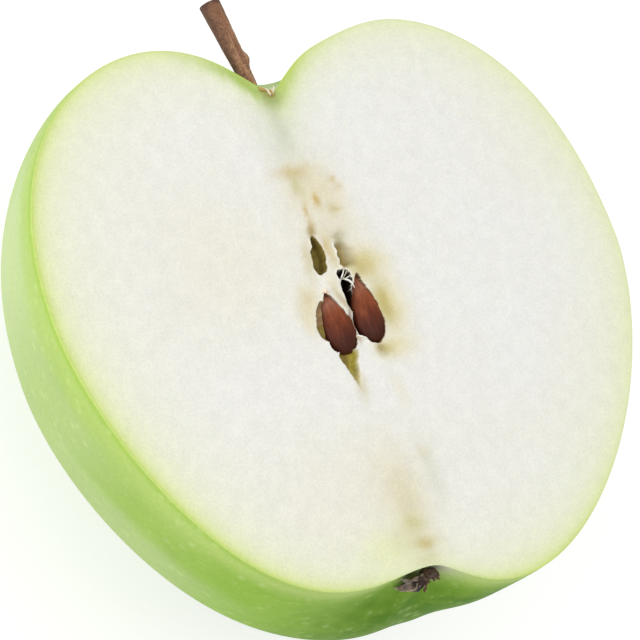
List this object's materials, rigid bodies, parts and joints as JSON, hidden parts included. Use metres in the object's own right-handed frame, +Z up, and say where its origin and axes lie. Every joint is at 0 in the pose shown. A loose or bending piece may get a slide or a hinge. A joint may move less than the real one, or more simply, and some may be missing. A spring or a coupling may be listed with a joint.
{
  "type": "apple half",
  "caption": "Half of a green apple cut lengthwise, with its stem, dry calyx and bare pips, lying on its skin with the cut face up.",
  "frame": {"origin": "bottom centre of the bounding box, on the surface the half lies on", "axes": "+Z up, out of the cut face; +Y along the core toward the stem; +X to the right of the core as seen from above the cut face"},
  "size_m": [0.0796, 0.0788, 0.0454],
  "materials": {
    "flesh": "moist white apple flesh with fine grain, pale green under the skin",
    "skin": "smooth waxy green peel with pale specks",
    "stem": "rough brown bark",
    "calyx": "dry crumpled brown sepals",
    "pip": "smooth mahogany seed coat with a soft sheen"
  },
  "bodies": {
    "root": {"apple_half": "flesh", "stem": "stem", "calyx": "calyx", "pip_left": "pip", "pip_right": "pip"}
  },
  "joints": []
}
